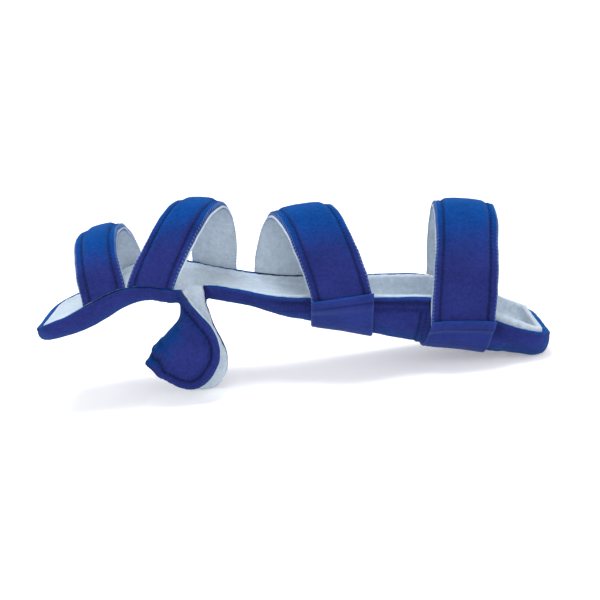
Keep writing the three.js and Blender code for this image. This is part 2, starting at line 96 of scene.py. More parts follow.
# Stations of the pan: place along it, rise, and then one column for each of PAN_UNITS
PAN_UNITS = dict(near=HALF_WIDTH, far=HALF_WIDTH, nearWall=WALL_HEIGHT, farWall=WALL_HEIGHT,
                 corner=CORNER_RADIUS, crown=WALL_HEIGHT, lift=WALL_HEIGHT, rimRise=LINING_RIM_RISE)
PAN_SECTIONS = np.array([
    [-1, -0.128, 0.6, 0.6, 0.25, 0.25, 0.5, 0, 0.12, 0],
    [-0.991, -0.126, 0.76, 0.76, 0.28, 0.28, 0.5, 0, 0.05, 0],
    [-0.975, -0.122, 0.86, 0.86, 0.31, 0.31, 0.5, 0, 0.02, 0],
    [-0.95, -0.116, 0.94, 0.94, 0.34, 0.34, 0.5, 0, 0, 0],
    [-0.915, -0.107, 0.985, 0.985, 0.37, 0.37, 0.5, 0, 0, 0],
    [-0.865, -0.092, 1, 1, 0.39, 0.39, 0.5, 0, 0, 0],
    [-0.8, -0.065, 1, 1, 0.42, 0.42, 0.5, 0, 0, 0],
    [-0.73, -0.026, 1, 1, 0.42, 0.42, 0.5, 0.02, 0, 0],
    [-0.655, 0.019, 1, 1, 0.38, 0.42, 0.5, 0.05, 0, 0],
    [-0.575, 0.042, 1, 1, 0.3, 0.42, 0.45, 0.1, 0, 0],
    [-0.485, 0.032, 1, 1, 0.29, 0.42, 0.45, 0.14, 0, 0],
    [-0.455, 0.028, 0.86, 0.98, 0.29, 0.42, 0.45, 0.14, 0, 0],
    [-0.42, 0.023, 0.52, 0.96, 0.29, 0.42, 0.45, 0.12, 0, 0],
    [-0.36, 0.013, 0.36, 0.9, 0.3, 0.42, 0.45, 0.08, 0, 0],
    [-0.28, 0.001, 0.35, 0.86, 0.3, 0.42, 0.45, 0.04, 0, 0],
    [-0.2, -0.012, 0.4, 0.84, 0.3, 0.42, 0.45, 0.02, 0, 0],
    [-0.1, -0.03, 0.66, 0.84, 0.38, 0.45, 0.55, 0, 0, 0.1],
    [0, -0.048, 0.86, 0.86, 0.5, 0.52, 0.8, 0, 0, 0.1],
    [0.14, -0.078, 0.9, 0.9, 0.65, 0.65, 1, 0, 0, 0.1],
    [0.31, -0.109, 0.94, 0.94, 0.81, 0.81, 1, 0, 0, 0.1],
    [0.5, -0.139, 0.98, 0.98, 0.94, 0.94, 1, 0, 0, 0.1],
    [0.64, -0.154, 1, 1, 0.82, 0.82, 1, 0, 0, 0.5],
    [0.78, -0.171, 1.01, 1.01, 0.64, 0.64, 1, 0, 0, 1],
    [0.86, -0.182, 1.01, 1.01, 0.57, 0.57, 1, 0, 0, 0.8],
    [0.915, -0.189, 1, 1, 0.54, 0.54, 1, 0, 0, 0.6],
    [0.95, -0.193, 0.95, 0.95, 0.53, 0.53, 1, 0, 0, 0.5],
    [0.975, -0.195, 0.87, 0.87, 0.52, 0.52, 1, 0, 0.02, 0.4],
    [0.991, -0.196, 0.77, 0.77, 0.5, 0.5, 0.9, 0, 0.05, 0.3],
    [1, -0.197, 0.62, 0.62, 0.48, 0.48, 0.8, 0, 0.12, 0.3],
])
# And of the thumb trough: place, fold, depths of its two walls, and reach to its two sides
THUMB_SECTIONS = np.array([
    [-0.6, -0.8, -0.8, -0.2, 0.36, 0.5],
    [-0.46, -0.62, -0.62, 0.02, 0.36, 0.5],
    [-0.34, -0.46, -0.32, 0.16, 0.37, 0.5],
    [-0.29, -0.36, 0.38, 0.24, 0.38, 0.5],
    [-0.2, -0.21, 0.72, 0.38, 0.41, 0.5],
    [-0.05, -0.04, 0.91, 0.76, 0.46, 0.5],
    [0.08, 0, 0.97, 0.92, 0.49, 0.5],
    [0.25, 0, 1.0, 1.0, 0.5, 0.5],
    [0.42, 0, 0.96, 1.0, 0.5, 0.5],
    [0.53, 0, 0.83, 0.94, 0.5, 0.5],
    [0.61, 0.01, 0.62, 0.85, 0.49, 0.49],
    [0.66, 0.04, 0.36, 0.7, 0.47, 0.47],
])

# Straps. gather is the depth of the gathers along the wrist-side seam, in millimetres, and laps
# is how far the tab reaches up over the strap at its two sides.
STRAP_COLUMNS = ["name", "near", "beside", "top", "far", "height", "tab", "square", "width", "slant", "end",
                 "skew", "hang", "drift", "gather", "laps"]
STRAPS = [dict(zip(STRAP_COLUMNS, row)) for row in [
    ["finger", -0.735, None, -0.785, -0.73, 0.723, 1, 2.5, 0.684, 0.158, 0.13, 0, 0, 0, 0.4, (5, 5)],
    ["palm", None, "finger", -0.4, -0.35, 1.0, 1, 2.4, 0.75, -0.026, 0.13, 0, 0, 0, 0.4, (5, 5)],
    ["wrist", 0.167, None, 0.015, -0.07, 0.938, -1, 2.3, 0.974, 0.132, 0.105, -0.026, 0.042, 0,
     0.7, (3.6, 7)],
    ["forearm", 0.645, None, 0.668, 0.668, 0.992, -1, 2.4, 1.0, -0.053, 0.263, -0.184, 0, -0.132,
     1.0, (3.0, 3.4)],
]]
for strap in STRAPS:
    strap["height"] *= STRAP_HEIGHT
    for column in ["width", "slant", "end", "skew", "hang", "drift"]:
        strap[column] *= STRAP_WIDTH


# Number helpers
def unit(v):
    return v / np.maximum(np.linalg.norm(v, axis=-1, keepdims=True), 1e-9)


def bell(x, middle, width):
    return np.exp(-(((x - middle) / width) ** 2))


def fade(x, low, high):
    t = np.clip((x - low) / (high - low), 0, 1)
    return t * t * (3 - 2 * t)


# 1 between two stretches over which it fades
def between(x, fade_in, fade_out):
    return fade(x, *fade_in) * (1 - fade(x, *fade_out))


def wave(s, pitch):
    return np.cos(2 * math.pi * s / pitch)


# A quarter round that takes the edge of a sheet down, from the distance to the edge
def round_off(distance, depth, radius):
    return -depth * (1 - np.sqrt(1 - (1 - np.clip(distance / radius, 0, 1)) ** 2))


def waver(points, scale, seed=0.0):
    shift = Vector((seed, seed, seed))
    values = [noise.noise(Vector(p) * scale + shift) for p in points.reshape(-1, 3).tolist()]
    return np.array(values).reshape(points.shape[:-1])


def distances_along(line):
    return np.concatenate([[0], np.cumsum(np.linalg.norm(np.diff(line, axis=0), axis=1))])


# The columns of a table read between its rows
def read(want, places, table):
    return np.stack([np.interp(want, places, column) for column in table.T], -1)


# How the splint lies, and the camera that its sizes were read with, moved with it
def rest(points):
    p = np.asarray(points, float)
    c, s = math.cos(REST_PITCH), math.sin(REST_PITCH)
    x = p[..., 0] * c + p[..., 2] * s + REST_SHIFT[0]
    y = p[..., 1] + REST_SHIFT[1]
    z = -p[..., 0] * s + p[..., 2] * c + REST_SHIFT[2]
    pressed = SOFT_LANDING * np.log1p(np.exp(np.clip(z / SOFT_LANDING, -40, 40)))
    z = np.where(z < 2 * SOFT_LANDING, pressed, z)
    return np.stack([x, y, z], -1) / 1000


CAMERA_DISTANCE, CAMERA_TILT = 0.9, math.radians(12)
camera_data = bpy.data.cameras.new("camera")
camera_data.lens, camera_data.sensor_width = 85.32, 36
camera_data.clip_start, camera_data.clip_end = 0.01, 20
camera = bpy.data.objects.new("camera", camera_data)
bpy.context.collection.objects.link(camera)
ce, se = math.cos(CAMERA_TILT), math.sin(CAMERA_TILT)
stand = Matrix(((1, 0, 0, 0), (0, se, -ce, 0), (0, ce, se, 0), (0, 0, 0, 1)))
stand.translation = Vector((0, -ce, se)) * CAMERA_DISTANCE
laid_down = Matrix.Translation(Vector(REST_SHIFT) / 1000) @ Matrix.Rotation(REST_PITCH, 4, "Y")
camera.matrix_world = laid_down @ stand
bpy.context.scene.camera = camera


# Sections of the pan and of the thumb trough
# Catmull-Rom value of a column at a place between the rows
def column_at(rows, index, place):
    keys = rows[:, 0]
    i = 0
    while i < len(rows) - 2 and place > keys[i + 1]:
        i += 1
    a, b, c, d = (min(max(k, 0), len(rows) - 1) for k in (i - 1, i, i + 1, i + 2))
    step = keys[c] - keys[b]
    share = min(max((place - keys[b]) / step, 0), 1)
    slope_in = 0 if a == b else (rows[c, index] - rows[a, index]) / (keys[c] - keys[a]) * step
    slope_out = 0 if c == d else (rows[d, index] - rows[b, index]) / (keys[d] - keys[b]) * step
    s2, s3 = share**2, share**3
    return ((2 * s3 - 3 * s2 + 1) * rows[b, index] + (s3 - 2 * s2 + share) * slope_in
            + (3 * s2 - 2 * s3) * rows[c, index] + (s3 - s2) * slope_out)


def spine_at(station):
    length = HAND_LENGTH if station < 0 else FOREARM_LENGTH
    return np.array([station * length, 0, column_at(PAN_SECTIONS, 1, station) * length])


def pan_section(station):
    sizes = {name: column_at(PAN_SECTIONS, k, station) * PAN_UNITS[name]
             for k, name in enumerate(PAN_UNITS, 2)}
    along = spine_at(min(station + 0.03, 1)) - spine_at(max(station - 0.03, -1))
    along /= np.linalg.norm(along)
    return dict(sizes, origin=spine_at(station), up=np.array([-along[2], 0, along[0]]))


def thumb_section(place):
    fold, near_wall, far_wall, near, far = (column_at(THUMB_SECTIONS, k, place) for k in range(1, 6))
    axis = np.array([-math.cos(THUMB_SLOPE), 0, -math.sin(THUMB_SLOPE)])
    up = np.array([math.sin(THUMB_SLOPE), 0, -math.cos(THUMB_SLOPE)])
    fold *= THUMB_NEAR_DEPTH
    root = spine_at(THUMB_PLACE) + [0, THUMB_WIDTH / 2 - HALF_WIDTH - THUMB_STAND_OUT, -THUMB_DROP]
    return dict(
        origin=root + axis * place * THUMB_LENGTH + up * fold, up=up,
        near=near * THUMB_WIDTH, far=far * THUMB_WIDTH,
        nearWall=near_wall * THUMB_NEAR_DEPTH - fold, farWall=far_wall * THUMB_FAR_DEPTH - fold,
        corner=THUMB_CORNER_RADIUS, crown=0, lift=0, rimRise=0)


# A section's outline from the near wall's top over the floor to the far wall's top, some depth
# inside the cover's outside, with the walls' tops that much above the rim
def profile(s, depth, above):
    left, right, floor = -(s["near"] - depth), s["far"] - depth, s["lift"] + depth
    near_top = max(s["nearWall"] + above, floor + LEAST_WALL)
    far_top = max(s["farWall"] + above, floor + LEAST_WALL)
    radius = lambda wall: max(min(s["corner"], wall - s["lift"] - LEAST_RADIUS) - depth, LEAST_RADIUS)
    rn, rf = radius(s["nearWall"]), radius(s["farWall"])
    turn = np.linspace(0, math.pi / 2, ARC_STEPS + 1)
    share = np.arange(1, FLOOR_STEPS) / FLOOR_STEPS
    start, end = left + rn, right - rf
    across = np.concatenate([[left], left + rn * (1 - np.cos(turn)), start + (end - start) * share,
                             right - rf * (1 - np.sin(turn)), [right]])
    up = np.concatenate([[near_top], floor + rn * (1 - np.sin(turn)),
                         floor + s["crown"] * np.sin(math.pi * share),
                         floor + rf * (1 - np.cos(turn)), [far_top]])
    return across, up


def lay(s, across, up):
    return s["origin"] + np.outer(across, [0, 1, 0]) + np.outer(up, s["up"])


# Mesh helpers. Everything is built in millimetres and put to rest at the end. The faces of a
# solid are of three kinds, so that the rim is known again after it has been cut.
SIDE, TOP, ROOM = 0, 1, 2
KINDS = [bpy.data.materials.new(f"kind_{k}") for k in range(3)]


def make(name, vertices, faces, kinds=None):
    mesh = bpy.data.meshes.new(name)
    faces = faces if isinstance(faces, list) else faces.tolist()
    mesh.from_pydata(np.asarray(vertices).tolist(), [], faces)
    obj = bpy.data.objects.new(name, mesh)
    bpy.context.collection.objects.link(obj)
    if kinds is not None:
        for kind in KINDS:
            mesh.materials.append(kind)
        mesh.polygons.foreach_set("material_index", np.asarray(kinds, np.int32))
    mesh.update()
    return obj


def shade_smooth(obj):
    polygons = obj.data.polygons
    polygons.foreach_set("use_smooth", [True] * len(polygons))


def read_vertices(mesh, field):
    out = np.empty(len(mesh.vertices) * 3)
    mesh.vertices.foreach_get(field, out)
    return out.reshape(-1, 3)


def coordinates(mesh):
    return read_vertices(mesh, "co")


def normals(mesh):
    return read_vertices(mesh, "normal")


def set_coordinates(mesh, points):
    mesh.vertices.foreach_set("co", np.ascontiguousarray(points, float).ravel())
    mesh.update()


def put_float(mesh, name, values):
    mesh.attributes.new(name, "FLOAT", "POINT").data.foreach_set("value", np.asarray(values, np.float32))


def tree_of(points):
    tree = KDTree(len(points))
    for i, p in enumerate(points.tolist()):
        tree.insert(p, i)
    tree.balance()
    return tree


def surface_of(obj):
    faces = [list(f.vertices) for f in obj.data.polygons]
    return BVHTree.FromPolygons(coordinates(obj.data).tolist(), faces)


def loft(name, section_at, stations, outline_at, side_kind, cap_kind):
    rings, kinds, faces = [], [], []
    for station in stations:
        s = section_at(station)
        rings.append(lay(s, *outline_at(s)))
    count = len(rings[0])
    for i in range(len(rings) - 1):
        for j in range(count):
            k = (j + 1) % count
            faces.append([i * count + j, i * count + k, (i + 1) * count + k, (i + 1) * count + j])
            kinds.append(TOP if j == count - 1 and side_kind == SIDE else side_kind)
    for i, turn in ((0, -1), (len(rings) - 1, 1)):
        faces.append(list(range(i * count, (i + 1) * count))[::turn])
        kinds.append(cap_kind)
    points = np.concatenate(rings)
    volume = sum(np.dot(points[f[0]], np.cross(points[f[1]], points[f[2]])) for f in faces[:-2])
    if volume < 0:
        faces = [f[::-1] for f in faces]
    return make(name, points, faces, kinds)


def stations_between(start, end, length):
    return np.linspace(start, end, max(int(abs(end - start) * length / RING_STEP), 4))


def pan_stations(depth):
    return stations_between(-1 + depth / HAND_LENGTH, 1 - depth / FOREARM_LENGTH, MEAN_LENGTH)


def pan_solid(name, depth, above, side_kind):
    return loft(name, pan_section, pan_stations(depth), lambda s: profile(s, depth, above),
                side_kind, side_kind)


def thumb_solid(name, depth, above, extend, side_kind):
    start, end = THUMB_SECTIONS[[0, -1], 0] + np.array([-1, 1]) * extend / THUMB_LENGTH
    return loft(name, thumb_section, stations_between(start, end, THUMB_LENGTH),
                lambda s: profile(s, depth, above), side_kind, TOP if side_kind == SIDE else side_kind)


# All that is above the pan's rim, where the thumb trough may not go
def headroom():
    reach = 2.0 * HALF_WIDTH

    def outline(s):
        n, f = s["nearWall"], s["farWall"]
        return (np.array([-reach, 0, 0, reach, reach, -reach]),
                np.array([n, n, f, f, f + CAVITY_HEIGHT, n + CAVITY_HEIGHT]))

    return loft("headroom", pan_section, pan_stations(0), outline, TOP, TOP)


def bake(obj):
    mesh = bpy.data.meshes.new_from_object(obj.evaluated_get(bpy.context.evaluated_depsgraph_get()))
    obj.modifiers.clear()
    obj.data = mesh


def boolean(obj, other, operation):
    m = obj.modifiers.new("cut", "BOOLEAN")
    m.operation, m.object, m.solver = operation, other, "MANIFOLD"
    m.material_mode = "INDEX"
    bake(obj)
    bpy.data.objects.remove(other)


def remesh(obj, voxel, smooth):
    m = obj.modifiers.new("remesh", "REMESH")
    m.mode, m.voxel_size, m.adaptivity = "VOXEL", voxel, 0
    bake(obj)
    m = obj.modifiers.new("smooth", "SMOOTH")
    m.factor, m.iterations = 0.5, smooth
    bake(obj)
    shade_smooth(obj)


# The loops of edges where the outer wall meets the top of the rim, with the outer wall's
# direction and a point of it at each vertex. What is under a dozen vertices long is left out.
def rim_loops(obj):
    mesh = obj.data
    beside = {}
    for polygon in mesh.polygons:
        for key in polygon.edge_keys:
            beside.setdefault(key, []).append(polygon)
    links = {}
    for key, pair in beside.items():
        if len(pair) == 2 and {p.material_index for p in pair} == {SIDE, TOP}:
            outer = pair[0] if pair[0].material_index == SIDE else pair[1]
            for a, b in (key, key[::-1]):
                links.setdefault(a, []).append((b, outer))
    loops, seen = [], set()
    for first in sorted(links, key=lambda v: (len(links[v]) != 1, v)):
        if first in seen:
            continue
        walk, here = [], first
        while here is not None and here not in seen:
            seen.add(here)
            onward = [(b, outer) for b, outer in links[here] if b not in seen]
            outer = (onward or links[here])[0][1]
            walk.append([np.array(v) for v in (mesh.vertices[here].co, outer.normal, outer.center)])
            here = onward[0][0] if onward else None
        if len(walk) > 12:
            loops.append(walk)
    return loops


# A rim in steps of one length: its points, the outer wall's direction, the way down that wall
# and the distance along
def resample(walk):
    points, facing, centres = (np.array(column) for column in zip(*walk))
    at = distances_along(points)
    want = np.linspace(0, at[-1], max(int(at[-1] / RIM_STEP), 8))

    def smooth(v, turns):
        for _ in range(turns):
            v = np.concatenate([v[:1], 0.25 * v[:-2] + 0.5 * v[1:-1] + 0.25 * v[2:], v[-1:]])
        return v

    p = smooth(read(want, at, points), 6)
    n = unit(smooth(read(want, at, facing), 8))
    inside = read(want, at, centres - points)
    down = np.cross(n, unit(np.gradient(p, axis=0)))
    down *= np.sign((down * inside).sum(1))[:, None]
    return p, n, unit(smooth(down, 8)), want


# Where the walls are lower than the padding is thick, the terry still keeps its thickness: its
# upper side follows the floor's crown instead of running straight from rim to rim
LINING_SWELL, LINING_CREST = 0.14, -0.05


def lining_outline(s):
    across, up = profile(s, LINING_DEPTH, s["rimRise"])
    inner, floor = (v[ARC_STEPS + 1:-ARC_STEPS - 1] for v in profile(s, AIR_DEPTH, CAVITY_HEIGHT))
    straight = np.interp(inner, [across[0], across[-1]], [up[0], up[-1]])
    share = np.linspace(0, 1, len(inner))
    swell = fade(np.minimum(share, 1 - share), 0, LINING_SWELL)
    raised = straight + np.maximum(floor + LINING_CREST - straight, 0) * swell
    return np.concatenate([across, inner[::-1]]), np.concatenate([up, raised[::-1]])


# A pan joined with the thumb trough at one depth, less the room inside at another
def trough(pan, depth, room_depth):
    thumb = thumb_solid("thumb", depth, 0, 0, SIDE)
    boolean(thumb, headroom(), "DIFFERENCE")
    boolean(pan, thumb, "UNION")
    boolean(pan, pan_solid("room", room_depth, CAVITY_HEIGHT, ROOM), "DIFFERENCE")
    thumb_room = thumb_solid("thumb_room", room_depth, THUMB_CAVITY_RISE, THUMB_CAVITY_REACH, ROOM)
    boolean(pan, thumb_room, "DIFFERENCE")
    return pan


# The cover, its rims, which are numbered apart along their length, and the lining
RIMS_APART = 5000
cover = trough(pan_solid("splint_cover_cloth", 0, 0, SIDE), 0, COVER_THICKNESS)
rims = [resample(walk) for walk in rim_loops(cover)]
rim_p, rim_n, rim_down = (np.concatenate([r[k] for r in rims]) for k in range(3))
rim_at = np.concatenate([r[3] + RIMS_APART * k for k, r in enumerate(rims)])
rim_tree = tree_of(rim_p)
lining = loft("terry_lining_cloth", pan_section, pan_stations(LINING_DEPTH), lining_outline, SIDE, SIDE)
lining = trough(lining, LINING_DEPTH, AIR_DEPTH)
remesh(cover, VOXEL, 8)
remesh(lining, VOXEL, 4)

# How the cover's edge is sewn: on the thumb trough a flat band with a gathered groove inside it,
# on the forearm a rolled edge over a band with two rows of stitches, and along the fingers the
# edge is turned in and shows only its overlocking. Distances are from the edge.
BAND, GATHER = 5.2, 3.0
ROLL, ROWS, FOREARM_BAND = 3.0, (4.9, 6.9), 8.4
TURNED_IN = 1.9
OVERLOCK_PITCH, STITCH_PITCH = 2.4, 2.6
OUTER_REACH, FAR_OFF = 15, 40.0

# The stretches over which one way of sewing gives way to the next: under the pan for the thumb
# trough, and along the splint
UNDER_PAN, THUMB_END = (-4, 3), (-48, -40)
NECK_START, NECK_END = (-76, -70), (-66, -58)
FOREARM_START, FOREARM_END = (-30, -5), (116, 128)
SPINE = np.array([spine_at(s) for s in np.linspace(-1, 1, 200)])

# The patch under the forearm tab: its edge leans with the height below the rim
PATCH_EDGE, PATCH_LEAN, PATCH_FADE, PATCH_LIMIT, PATCH_ROW = 75.8, 0.16, (122, 126), 140, 2.4

# The little pointed end of the band at the thumb's tip, with the notch above it
TIP, TIP_RADIUS, TIP_LENGTH = (-95.2, -31.6), 3.2, 3.4
NOTCH, NOTCH_RADIUS, NOTCH_DEPTH = (-93.8, -25.8), 2.4, 1.8
TIP_WAY, TIP_SIDE = (-0.9, 0.0, -0.2), (30, 38)


# How much the edge near each point is sewn as on the thumb trough and as on the forearm
def sewn_as(p):
    x = p[..., 0]
    under = np.interp(x, SPINE[:, 0], SPINE[:, 2])
    thumb = fade(under - p[..., 2], *UNDER_PAN) * (1 - fade(x, *THUMB_END))
    thumb = np.maximum(thumb, between(x, NECK_START, NECK_END))
    return thumb, between(x, FOREARM_START, FOREARM_END) * (1 - thumb)


def spot(p, place, radius):
    return np.exp(-(((p[:, [0, 2]] - place) ** 2).sum(1)) / radius**2)


def dress_cover():
    mesh = cover.data
    p, n = coordinates(mesh), normals(mesh)
    found = [rim_tree.find(q) for q in p.tolist()]
    index, reach = (np.array([f[k] for f in found]) for k in (1, 2))
    down = ((p - rim_p[index]) * rim_down[index]).sum(1)
    outer = ((n * rim_n[index]).sum(1) > 0.35) & (reach < OUTER_REACH)
    d = np.where(outer, np.abs(down), FAR_OFF)
    s = rim_at[index]
    thumb, forearm = sewn_as(p)
    wide, fine = waver(p, 0.035), waver(p, 0.16, 7.0)
    drift, pull = 2.2 * waver(p, 0.05, 3.0), 0.75 + 0.7 * waver(p, 0.07, 12.0)
    stitched = 0.5 + 0.5 * wave(s, STITCH_PITCH)

    flat_band = (-0.7 * (1 - fade(d, BAND - 0.4, BAND + 3.2)) - 1.15 * bell(d, BAND, 0.85)
                 + 1.15 * pull * bell(d, BAND + 1.2, 2.2) * np.sin(2 * math.pi * s / GATHER + drift)
                 + 0.6 * bell(d, BAND + 6.5, 5.0))
    sunk = fade(d, ROLL, ROLL + 0.5) - fade(d, FOREARM_BAND, FOREARM_BAND + 1.6)
    rolled = (0.25 * bell(d, 1.4, 1.1) - 1.3 * bell(d, ROLL, 0.85) - 0.35 * sunk
              - 0.4 * bell(d, FOREARM_BAND, 0.6) + 0.4 * bell(d, FOREARM_BAND + 5, 4))
    for row in ROWS:
        rolled -= 0.35 * bell(d, row, 0.6) * stitched
    turned = -0.3 * bell(d, TURNED_IN, 0.7) + 0.3 * bell(d, 6.5, 3.5)
    ridge = 0.12 * bell(d, 0.9, 1.1) * wave(s, OVERLOCK_PITCH)
    seam = thumb * flat_band + forearm * rolled + (1 - thumb - forearm).clip(0) * turned + ridge

    below = (rim_p[index][:, 2] - p[:, 2]).clip(0, FAR_OFF)
    edge = p[:, 0] - (PATCH_EDGE - PATCH_LEAN * below)
    on_patch = ((n[:, 1] < -0.2) * (p[:, 1] < -15) * (p[:, 0] < PATCH_LIMIT)
                * (below > FOREARM_BAND + 0.8))
    patch_row = bell(edge, PATCH_ROW, 0.7)
    patch_wave = wave(p[:, 2], STITCH_PITCH)
    patch = on_patch * (0.8 * fade(edge, -0.4, 0.6) - 0.6 * bell(edge, -1.0, 0.8)
                        - 0.45 * patch_row * (0.6 + 0.4 * patch_wave))
    patch *= 1 - fade(p[:, 0], *PATCH_FADE)

    pointed = TIP_LENGTH * spot(p, TIP, TIP_RADIUS) - NOTCH_DEPTH * spot(p, NOTCH, NOTCH_RADIUS)
    pointed *= fade(-p[:, 1], *TIP_SIDE)
    shift = outer * seam + patch + 0.5 * wide + 0.18 * fine
    set_coordinates(mesh, p + n * shift[:, None] + np.array(TIP_WAY) * pointed[:, None])

    # Painted shade: how much the cloth is darkened in the grooves, along the stitch rows and at the patch's
    # edge
    painted_crease_shade = 0.9 * bell(d, BAND, 0.9) * thumb
    painted_crease_shade += forearm * (bell(d, ROLL, 0.9) + 0.5 * bell(d, FOREARM_BAND, 0.7))
    for row in ROWS:
        painted_crease_shade += 0.8 * forearm * bell(d, row, 0.6) * stitched
    painted_crease_shade += on_patch * (0.9 * bell(edge, -0.9, 0.9) + 0.7 * patch_row * (0.5 + 0.5 * patch_wave)
                          + 0.3 * bell(edge, 2.2, 2.4))
    put_float(mesh, "edge", d)
    put_float(mesh, "painted_crease_shade", painted_crease_shade.clip(0, 1) * np.maximum(outer, on_patch))


# The padding swells its cloth. A coarse copy of the cover is blown up as cloth, held along its
# sewn edge, and the cover's outer side follows it up to a soft limit. It stays in under the
# straps' ends, on either wall, and where the lining lies against it.
SWELL_CAP, SWELL_DENT = 1.5, -0.3
COARSE_VOXEL, PRESSURE, FRAMES, FOLLOWED = 4.0, 4.0, 20, 6
HELD_NEAR, HELD_FAR, HELD_FADE = [(4, 47), (76, 120)], [(-133, -102), (-72, -40)], 5
LINED, UNLINED = 1.1, 4.0


def swollen(obj):
    coarse = bpy.data.objects.new("swelling", obj.data.copy())
    bpy.context.collection.objects.link(coarse)
    remesh(coarse, COARSE_VOXEL, 2)
    start = coordinates(coarse.data)
    set_coordinates(coarse.data, start / 1000)
    group = coarse.vertex_groups.new(name="sewn")
    group.add([i for i, q in enumerate(start.tolist()) if rim_tree.find(q)[2] < BAND + 0.5], 1.0, "REPLACE")
    m = coarse.modifiers.new("cloth", "CLOTH")
    m.settings.use_pressure, m.settings.uniform_pressure_force = True, PRESSURE
    m.settings.vertex_group_mass = "sewn"
    m.settings.effector_weights.gravity = 0
    m.collision_settings.use_collision = False
    for number in range(1, FRAMES + 1):
        bpy.context.scene.frame_set(number)
    bake(coarse)
    moved = coordinates(coarse.data) * 1000 - start
    bpy.context.scene.frame_set(1)
    bpy.data.objects.remove(coarse)
    return start, moved


def swell_cover():
    mesh = cover.data
    p, n = coordinates(mesh), normals(mesh)
    start, moved = swollen(cover)
    coarse_tree = tree_of(start)
    lined = surface_of(lining)
    push = np.zeros(len(p))
    for i, q in enumerate(p.tolist()):
        off_lining = lined.find_nearest(q, UNLINED)[3]
        if off_lining is not None and off_lining < LINED:
            continue
        found = coarse_tree.find_n(q, FOLLOWED)
        weight = np.array([1 / (f[2] ** 2 + 1) for f in found])
        out = (moved[[f[1] for f in found]] @ n[i]) * weight
        loose = 1 if off_lining is None else (off_lining - LINED) / (UNLINED - LINED)
        push[i] = out.sum() / weight.sum() * loose
    for spans, facing in ((HELD_NEAR, -n[:, 1]), (HELD_FAR, n[:, 1])):
        for low, high in spans:
            held = between(p[:, 0], (low - HELD_FADE, low), (high, high + HELD_FADE))
            push *= 1 - held * fade(facing, 0.1, 0.4)
    push = SWELL_CAP * np.tanh(np.maximum(push, SWELL_DENT) / SWELL_CAP)
    set_coordinates(mesh, p + n * push[:, None])


swell_cover()
dress_cover()


# The terry's pile, as a soft uneven relief
def dress_lining():
    mesh = lining.data
    p, n = coordinates(mesh), normals(mesh)
    pile = 0.34 * waver(p, 0.62) + 0.2 * waver(p, 0.3, 4.0) + 0.35 * waver(p, 0.06, 9.0)
    set_coordinates(mesh, p + n * pile[:, None])


dress_lining()

# Where straps and tabs go. The pan's outer wall is a grid of lines, at the cover's outside and
# WALL_FAN outside it, from which a wall line at any x and any clearance is read.
WALL_FAN = 8.0
RIM_LIFT = GAP + 0.2
wall_sections = [pan_section(s) for s in np.linspace(-1, 1, 360)]
wall, fanned_wall = (np.array([lay(s, *profile(s, depth, 0)) for s in wall_sections])
                     for depth in (0.0, -WALL_FAN))


def wall_line(x, side, clear):
    grid = wall + (fanned_wall - wall) * (clear / WALL_FAN)
    count = grid.shape[1]
    half = (count + 1) // 2
    picks = range(half) if side < 0 else range(count - 1, count - 1 - half, -1)
    return np.array([[np.interp(x, grid[:, k, 0], grid[:, k, a]) for a in (1, 2)] for k in picks])


def along_line(line, distances):
    return read(distances, distances_along(line), line)


def length_of(share):
    return share * (HAND_LENGTH if share < 0 else FOREARM_LENGTH)


def near_x(strap):
    if not strap["beside"]:
        return length_of(strap["near"])
    other = next(row for row in STRAPS if row["name"] == strap["beside"])
    return near_x(other) + (other["width"] + strap["width"]) / 2 + STRAP_SPACING


# x of a strap at a share of its arch, on the parabola through its near end, top and far end
def strap_x(strap, share, across):
    n, t, f = near_x(strap), length_of(strap["top"]), length_of(strap["far"])
    middle = n * (1 - share) * (1 - 2 * share) + t * 4 * share * (1 - share) + f * share * (2 * share - 1)
    return middle + across * strap["width"] / 2


def strap_end(strap, across):
    return strap["end"] + strap["skew"] * across


# One line along a strap, some height above its underside, as evenly spaced points, and its
# length. On the side of its tab it runs down outside the wall; on the other it starts inside.
def strap_line(strap, across, layer, count):
    tab = strap["tab"]
    end_x = {side: strap_x(strap, 0 if side < 0 else 1, across) for side in (-1, 1)}
    clear = {side: GAP + layer if side == tab else layer - STRAP_THICKNESS - GAP for side in (-1, 1)}
    rims = {side: wall_line(end_x[side], side, clear[side])[0] for side in (-1, 1)}
    turn = np.linspace(0, math.pi, ARCH_STEPS + 1)
    share = turn / math.pi
    near = share < 0.5
    crest = (strap["height"] - STRAP_THICKNESS + layer + across * strap["slant"] / 2
             - across**2 * STRAP_EDGE_DROP)
    lift = {side: 0 if side == tab else RIM_LIFT for side in (-1, 1)}
    rim_y = np.where(near, rims[-1][0], rims[1][0])
    rim_z = np.where(near, rims[-1][1] + lift[-1], rims[1][1] + lift[1])
    y = np.abs(np.cos(turn)) ** (2 / strap["square"]) * rim_y
    z = rim_z + np.sin(turn).clip(0) ** (2 / strap["square"]) * (crest - rim_z)
    arch = np.column_stack([strap_x(strap, share, across), y, z])
    down = np.linspace(strap_end(strap, across), 0, WALL_STEPS, endpoint=False)
    yz = along_line(wall_line(end_x[tab], tab, clear[tab]), down)
    on_wall = np.column_stack([np.full(len(yz), end_x[tab]), yz])
    line = np.concatenate([on_wall, arch] if tab < 0 else [arch, on_wall[::-1]])
    at = distances_along(line)
    return read(np.linspace(0, at[-1], count), at, line), at[-1]


# The grid's normals, on the side that the given directions point to
def grid_normals(grid, toward):
    n = unit(np.cross(np.gradient(grid, axis=0), np.gradient(grid, axis=1)))
    return n * np.sign((n * toward).sum(-1, keepdims=True))


